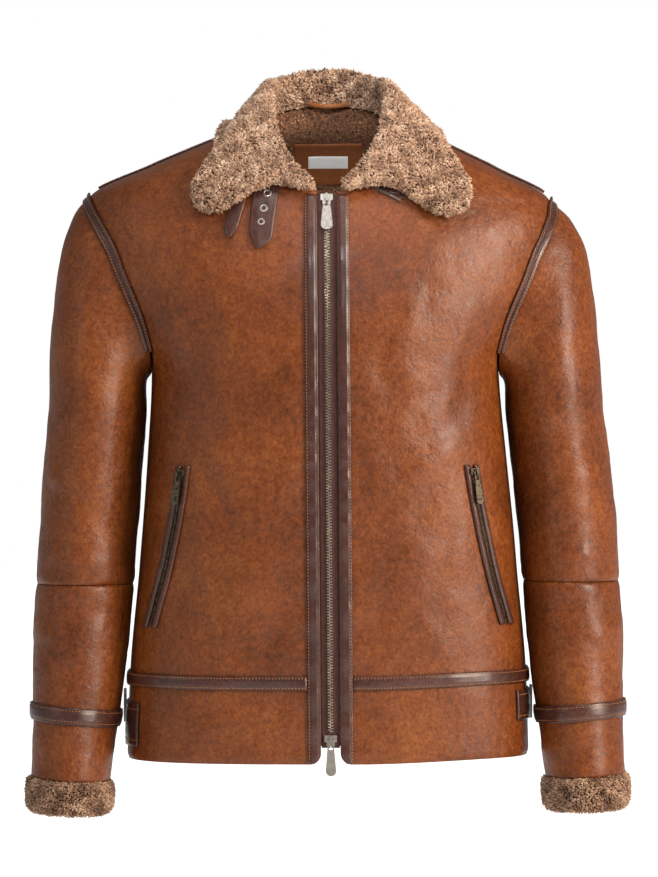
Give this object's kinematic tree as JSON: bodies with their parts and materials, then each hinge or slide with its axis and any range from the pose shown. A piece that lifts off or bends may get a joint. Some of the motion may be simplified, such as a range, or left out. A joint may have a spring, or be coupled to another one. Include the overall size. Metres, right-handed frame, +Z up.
{
  "type": "shearling coat",
  "caption": "Russet brown shearling flight jacket with a wide wool collar, dark leather strips, a full zip and wool cuffs, filled out with no wearer.",
  "frame": {"origin": "the base of the neck on the shoulder line, where the wearer holds the coat up", "axes": "+Z up to the collar, -Y out of the front, +X to the wearer's left"},
  "size_m": [0.6216, 0.2747, 0.7725],
  "materials": {
    "waxed_skin": "waxed russet sheepskin, soft broad sheen",
    "trim_leather": "dark brown smooth leather",
    "patch_leather": "tan leather",
    "loop_leather": "natural tan leather",
    "shearling": "sheared wool pile, matte",
    "zip_tape": "woven cotton tape",
    "label_cotton": "woven cotton, bare",
    "old_silver": "antique silver",
    "aged_brass": "antique brass"
  },
  "bodies": {
    "coat": {"back": "waxed_skin", "hem_front_right": "waxed_skin", "hem_front_left": "waxed_skin", "hem_back": "waxed_skin", "waist_trim_front_right": "trim_leather", "waist_trim_front_left": "trim_leather", "waist_trim_back": "trim_leather", "collar": "shearling", "placket_right": "trim_leather", "zip_tape_right": "zip_tape", "zip_chain_right": "old_silver", "placket_left": "trim_leather", "zip_tape_left": "zip_tape", "zip_chain_left": "old_silver", "zip_slider_top": "old_silver", "zip_slider_bottom": "old_silver", "collar_strap_front": "trim_leather", "collar_strap_rear": "trim_leather", "collar_eyelet_1": "old_silver", "collar_eyelet_2": "old_silver", "collar_eyelet_3": "old_silver", "buckle_frame": "old_silver", "buckle_strap": "trim_leather", "neck_patch": "patch_leather", "neck_label": "label_cotton", "hanger_loop": "loop_leather", "front_right": "waxed_skin", "sleeve_upper_right": "waxed_skin", "sleeve_lower_right": "waxed_skin", "sleeve_trim_right": "trim_leather", "cuff_right": "shearling", "armhole_trim_right": "trim_leather", "shoulder_trim_right": "trim_leather", "pocket_welt_fore_right": "trim_leather", "pocket_welt_rear_right": "trim_leather", "pocket_chain_right": "aged_brass", "pocket_slider_right": "aged_brass", "side_tab_right": "trim_leather", "side_buckle_right": "old_silver", "front_left": "waxed_skin", "sleeve_upper_left": "waxed_skin", "sleeve_lower_left": "waxed_skin", "sleeve_trim_left": "trim_leather", "cuff_left": "shearling", "armhole_trim_left": "trim_leather", "shoulder_trim_left": "trim_leather", "pocket_welt_fore_left": "trim_leather", "pocket_welt_rear_left": "trim_leather", "pocket_chain_left": "aged_brass", "pocket_slider_left": "aged_brass", "side_tab_left": "trim_leather", "side_buckle_left": "old_silver"},
    "top_pull": {"zip_pull_top": "old_silver"},
    "bottom_pull": {"zip_pull_bottom": "old_silver"},
    "right_pocket_pull": {"pocket_pull_right": "aged_brass"},
    "left_pocket_pull": {"pocket_pull_left": "aged_brass"}
  },
  "joints": [
    {"name": "top_pull_hinge", "type": "hinge", "parent": "coat", "child": "top_pull", "pos_m": [-0.00144, -0.10237, -0.08451], "axis": [-1, -0.0018, -0.0071], "range_deg": [0, 150]},
    {"name": "bottom_pull_hinge", "type": "hinge", "parent": "coat", "child": "bottom_pull", "pos_m": [0.00281, -0.13461, -0.63305], "axis": [-1, -0.0001, -0.0078], "range_deg": [0, 150]},
    {"name": "right_pocket_pull_hinge", "type": "hinge", "parent": "coat", "child": "right_pocket_pull", "pos_m": [-0.15183, -0.10718, -0.36465], "axis": [-0.7865, 0.6017, 0.1391], "range_deg": [0, 150]},
    {"name": "left_pocket_pull_hinge", "type": "hinge", "parent": "coat", "child": "left_pocket_pull", "pos_m": [0.15044, -0.10719, -0.36327], "axis": [-0.7865, -0.6017, -0.1391], "range_deg": [0, 150]}
  ]
}
